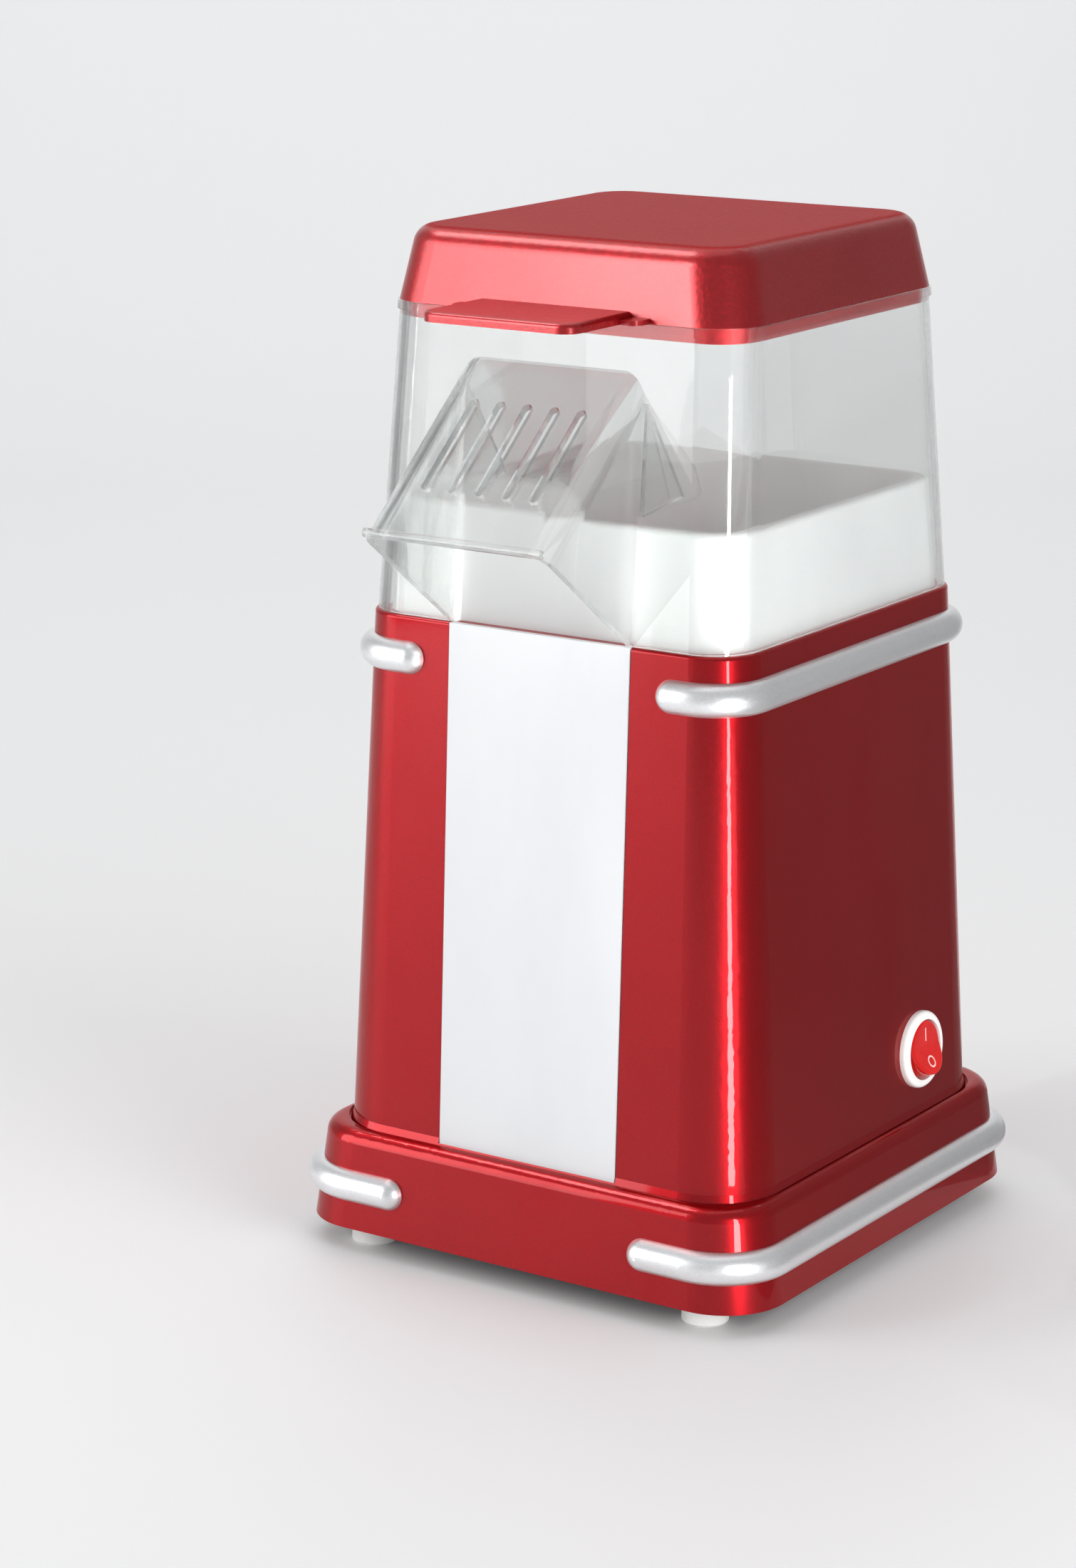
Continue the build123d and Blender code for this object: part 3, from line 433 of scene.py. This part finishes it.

# %% [markdown]
# ## The rocker
# The rocker is translucent red plastic with its upper half pressed in, and a weak emission paints a
# glow into it and its marks that brightens the red, though no lamp is modelled. Its shape is a round
# button whose face is a shallow valley, and its rounded rim catches the light. A cylinder with a
# Bevel modifier would have a flat face, so a disc of rings and spokes follows the face by a formula:
# the height across the valley, dropped near the rim by a quarter circle. The marks are the usual line
# and circle, printed on the face, so they are a mask worked out from the distance to each.

# %% Rocker shape
WALL_FOOT, WALL_HEAD = (70.8, 36.3), (62.95, 189.3)  # distance from the axis and height, in mm
WALL_LEAN = atan2(WALL_FOOT[0] - WALL_HEAD[0], WALL_HEAD[1] - WALL_FOOT[1])
rocker_joint = next(j for j in frame["joints"] if j["name"] == "rocker_tilt")
ROCKER_PIVOT = Vector(rocker_joint["pos_m"])
ROCKER_TILT = radians(13)
rocker_frame = (
    Matrix.Translation(ROCKER_PIVOT)
    @ Matrix.Rotation(-WALL_LEAN, 4, "Y")
    @ Matrix.Rotation(-ROCKER_TILT, 4, "Y")
)
ROCKER_R = 8.1 * MM
ROCKER_EDGE = 0.9 * MM
VALLEY_HEIGHT = 2.6 * MM
VALLEY_SLOPE = 1.9 / 8.1
VALLEY_ROUND = 1.2 * MM


def rocker_height(across):
    """Height of the face over the pivot at a distance across the valley, in metres."""
    rise = sqrt(across * across + VALLEY_ROUND ** 2)
    return VALLEY_HEIGHT + VALLEY_SLOPE * rise - VALLEY_SLOPE * VALLEY_ROUND * 0.5


def piece_from(mesh, name):
    """A smooth-shaded object made from a bmesh."""
    data = bpy.data.meshes.new(name)
    mesh.to_mesh(data)
    mesh.free()
    data.shade_smooth()
    piece = bpy.data.objects.new(name, data)
    bpy.context.scene.collection.objects.link(piece)
    return piece


def face_spot(radius, angle):
    """A spot of the dished face, which drops in a quarter circle at its rim."""
    y, z = radius * cos(angle), radius * sin(angle)
    inward = max(0.0, radius - (ROCKER_R - ROCKER_EDGE))
    drop = ROCKER_EDGE - sqrt(max(0.0, ROCKER_EDGE ** 2 - inward ** 2))
    return Vector((rocker_height(z) - drop, y, z))


def skirt_spot(depth, angle):
    """A spot of the button's side, at a depth in millimetres below the face."""
    radius = ROCKER_R if depth > -3.6 else ROCKER_R - 0.5 * MM
    y, z = radius * cos(angle), radius * sin(angle)
    top = rocker_height(z) - ROCKER_EDGE
    x = depth * MM if depth < 0 else min(top - 0.05 * MM, depth * MM + (top - 0.6 * MM) * 0.5)
    return Vector((x, y, z))


def rocker_mesh(name, spokes=96, rings=30):
    mesh = bmesh.new()
    angles = [2 * pi * k / spokes for k in range(spokes)]
    radii = [ROCKER_R * sin(pi / 2 * i / rings) for i in range(1, rings + 1)]
    loops = [[face_spot(radius, angle) for angle in angles] for radius in radii]
    loops += [[skirt_spot(depth, angle) for angle in angles] for depth in (0.6, 0.0, -1.5, -3.4, -3.9)]
    centre = mesh.verts.new(rocker_frame @ Vector((rocker_height(0), 0, 0)))
    rows = [[mesh.verts.new(rocker_frame @ spot) for spot in loop] for loop in loops]
    for k in range(spokes):
        mesh.faces.new((centre, rows[0][k], rows[0][(k + 1) % spokes]))
    for inner, outer in zip(rows, rows[1:]):
        for k in range(spokes):
            mesh.faces.new((inner[k], outer[k], outer[(k + 1) % spokes], inner[(k + 1) % spokes]))
    mesh.faces.new(list(reversed(rows[-1])))
    bmesh.ops.recalc_face_normals(mesh, faces=mesh.faces)
    return piece_from(mesh, name)


rocker = rocker_mesh("rocker_cap")
print(f"rocker face has {len(rocker.data.polygons)} faces")

# %% Rocker finish and marks
LINE_AT, LINE_HALF, LINE_REACH = 4.0 * MM, 0.22 * MM, 1.9 * MM
RING_AT, RING_RADIUS = -4.2 * MM, 1.55 * MM


def rocker_finish():
    finish = Finish("rocker_red", Coat_Weight=0.3, Coat_Roughness=0.04, IOR=1.4,
                    Emission_Strength=0.2, Subsurface_Weight=0.25, Subsurface_Scale=0.002)
    turn = rocker_frame.inverted()
    rows = [finish.node("ShaderNodeVectorMath", {"operation": "DOT_PRODUCT"},
                        {0: finish.place, 1: tuple(turn[i][:3])}, out="Value") + turn[i][3] for i in (1, 2)]
    across, along = rows
    up = along - LINE_AT
    line = 1 - abs(across).step(LINE_HALF, LINE_HALF + 0.08 * MM)
    line = line * (1 - abs(up).step(LINE_REACH, LINE_REACH + 0.1 * MM))
    down = along - RING_AT
    radius = (across * across + down * down) ** 0.5
    ring = 1 - abs(radius - RING_RADIUS).step(0.2 * MM, 0.3 * MM)
    mark = (line + ring).clamped()
    glow = finish.noise(0.004, 2.0)
    red = finish.mix(glow, (0.52, 0.004, 0.004), (0.66, 0.010, 0.008))
    # painted glow: a weak red emission, paler on the marks, that brightens the rocker though no lamp is
    # modelled
    painted_glow = finish.mix(glow, (0.5, 0.0, 0.0), (0.8, 0.02, 0.01))
    finish.set(Base_Color=finish.mix(mark, red, (0.95, 0.62, 0.58)))
    finish.set(Emission_Color=finish.mix(mark, painted_glow, (0.8, 0.4, 0.4)))
    finish.set(Roughness=0.12 + glow * 0.05)
    return finish.bump(mark, 0.00003)


rocker_finish().rest(rocker)
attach(rocker, "rocker")
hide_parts("switch_rocker")
print("rocker marked with a line and a circle")

# %% [markdown]
# ## Smooth corners
# The CAD meshes are dense but flat-shaded across their facets. Smooth shading with edges marked sharp
# by their angle rounds the shading where neighbouring faces nearly agree and keeps the true edges
# crisp. A bevel would move vertices; this leaves every one where it is.

# %% Smooth shading on the CAD nodes
def smooth_by_angle(piece, angle):
    for polygon in piece.data.polygons:
        polygon.use_smooth = True
    piece.data.set_sharp_from_angle(angle=angle)


SHARP = radians(28)
for piece in nodes.values():
    smooth_by_angle(piece, SHARP)
print(f"{len(nodes)} nodes shaded smooth")

# %% [markdown]
# ## The floor
# A studio sweep is one sheet that lies under the maker and curves up into a wall, so there is no
# line behind it. A Bevel on a folded plane would do, but rows along a profile with a quarter circle give
# the curve in a few lines.

# %% Floor
SWEEP_BACK, SWEEP_BEND = 1.2, 0.8


def pale_floor():
    finish = Finish("pale_floor", Roughness=0.55)
    cloud = finish.noise(0.6, 3.0)
    return finish.set(Base_Color=finish.mix(cloud, (0.87, 0.87, 0.87), (0.90, 0.90, 0.90)))


def sweep():
    """A floor that curves up into a wall behind the maker."""
    mesh = bmesh.new()
    rows = []
    turns = [pi / 2 * i / 16 for i in range(1, 17)]
    profile = [(-3.0, 0.0), (SWEEP_BACK, 0.0)]
    profile += [(SWEEP_BACK + SWEEP_BEND * sin(a), SWEEP_BEND - SWEEP_BEND * cos(a)) for a in turns]
    profile += [(SWEEP_BACK + SWEEP_BEND, 3.2)]
    for depth, height in profile:
        rows.append([mesh.verts.new((x, depth, height)) for x in (-4.0, 4.0)])
    for low, high in zip(rows, rows[1:]):
        mesh.faces.new((low[0], low[1], high[1], high[0]))
    floor = piece_from(mesh, "studio_sweep")
    floor.rotation_euler.z = HEADING
    return floor


floor = sweep()
pale_floor().rest(floor)
print("floor laid")

# %% [markdown]
# ## Reflection cards
# Glossy red shows whatever stands round it, so what it reflects has to be built too. A grey card round
# the right and back keeps the side wall deep red, where it would otherwise mirror the white floor. A black
# card to the back left gives the clear hood its dark edges. Cards could be dark walls in plain view, but
# turning off their camera visibility leaves the floor plain.

# %% Cards
def around(distance, height, angles):
    """Spots round the maker: each a distance away and some degrees to the left of straight behind it."""
    return [(-distance * sin(radians(a)), distance * cos(radians(a)), height) for a in angles]


def card(name, rows, shade):
    """A card stretched over rows of spots, which shows only in reflections and through the clear hood."""
    mesh = bmesh.new()
    grid = [[mesh.verts.new(spot) for spot in row] for row in rows]
    for low, high in zip(grid, grid[1:]):
        for i in range(len(low) - 1):
            mesh.faces.new((low[i], low[i + 1], high[i + 1], high[i]))
    made = piece_from(mesh, name)
    made.visible_camera = False
    made.visible_diffuse = False
    made.visible_shadow = False
    finish = Finish(name, Roughness=0.9)
    finish.set(Base_Color=finish.mix(finish.noise(0.1), (shade,) * 3, (shade * 1.15,) * 3)).rest(made)
    return made


GREY_PROFILE = ((0.13, 0.002), (0.40, 0.002), (0.52, 0.6))
RIGHT_AND_BACK = (-112, -86, -60, -36, -12)
grey_card = card("grey_card", [around(d, z, RIGHT_AND_BACK) for d, z in GREY_PROFILE], 0.34)
grey_card.visible_transmission = False
black_card = card("black_card", [around(0.9, z, (60, 75, 90)) for z in (0.002, 0.8)], 0.02)
black_card.visible_glossy = False
print("cards stand at the right and the back left")

# %% [markdown]
# ## Lights
# A large softbox to the front left gives the broad reflection on the lid and hood, a weak one overhead
# opens the shadows and a fill brightens the right side without showing in it. An area light is a lamp and
# a mirror image at once, so its size matters as much as its power.

# %% Softboxes
MIDDLE = (0, 0, 0.16)


def softbox(name, place, aim, width, height, power):
    data = bpy.data.lights.new(name, "AREA")
    data.shape = "RECTANGLE"
    data.size = width
    data.size_y = height
    data.energy = power
    light = bpy.data.objects.new(name, data)
    light.location = place
    light.rotation_euler = (Vector(aim) - Vector(place)).to_track_quat("-Z", "Y").to_euler()
    light.visible_camera = False
    bpy.context.scene.collection.objects.link(light)
    return light


key = softbox("key_softbox", (-0.915, -0.907, 0.46), MIDDLE, 0.8, 0.9, 8.5)
key.visible_transmission = False
softbox("top_softbox", (-0.2, 0.1, 1.5), MIDDLE, 1.2, 1.2, 3)
fill = softbox("right_fill", (1.1, -0.25, 0.55), MIDDLE, 0.8, 0.8, 7.5)
fill.visible_glossy = False
softbox("backdrop_light", (-0.75, 1.0, 1.7), (-1.1, 1.6, 0.4), 2.0, 0.6, 8)
print("four softboxes")

# %% [markdown]
# ## Lights for single pieces
# The bright line down the front corner comes from a narrow strip that leans with the tower, and the lid
# whitens towards that corner because a small box stands at the key's edge. Shielding each from the rest
# with flags is slow work; light linking gives a light a list of the pieces that it may fall on.

# %% Linked lights
def light_only(light, names):
    """This light falls on the named nodes and on nothing else."""
    lit = bpy.data.collections.new(light.name + "_receivers")
    for name in names:
        lit.objects.link(nodes[name])
    light.light_linking.receiver_collection = lit
    light.visible_transmission = False


def corner_strip(name, width, power, names):
    """A narrow strip light that leans away from the front right corner."""
    foot, head = Vector((0.187, -0.140, 0.005)), Vector((0.411, -0.282, 0.270))
    along = (head - foot).normalized()
    across = Vector((0, 0, 1)).cross(along).normalized()
    light = softbox(name, (foot + head) / 2, MIDDLE, width, (head - foot).length, power)
    light.rotation_euler = Matrix((across, along, across.cross(along))).transposed().to_euler()
    light_only(light, names)


EDGED = ("lid", "plinth", "tower_housing")
BEHIND_CLEAR = ("clear_hood", "inner_collar")
corner_strip("corner_strip", 0.03, 0.75, [name for name in nodes if name not in BEHIND_CLEAR])
corner_strip("hood_strip", 0.05, 4.5, ["clear_hood"])
light_only(softbox("edge_light", (-0.62, -0.2, 1.25), MIDDLE, 0.5, 0.35, 4), EDGED)
light_only(softbox("lid_core", (-0.53, -1.09, 0.50), MIDDLE, 0.2, 0.7, 6.5), ["lid"])
light_only(softbox("hood_core", (-0.62, -1.02, 0.46), MIDDLE, 0.2, 0.9, 2.5), ["clear_hood"])
print("two strips, an edge light and two cores")

# %% [markdown]
# ## Ambient light and view
# A faint, slightly cool world keeps the shadows from closing. The Standard view shows white plastic as
# white, where the default view would grey it.

# %% World and view
world = bpy.data.worlds.new("studio")
bpy.context.scene.world = world
world.use_nodes = True
sky = world.node_tree.nodes["Background"]
sky.inputs["Color"].default_value = (0.97, 0.98, 1.0, 1.0)
sky.inputs["Strength"].default_value = 0.48
bpy.context.scene.view_settings.view_transform = "Standard"
print("studio lit")
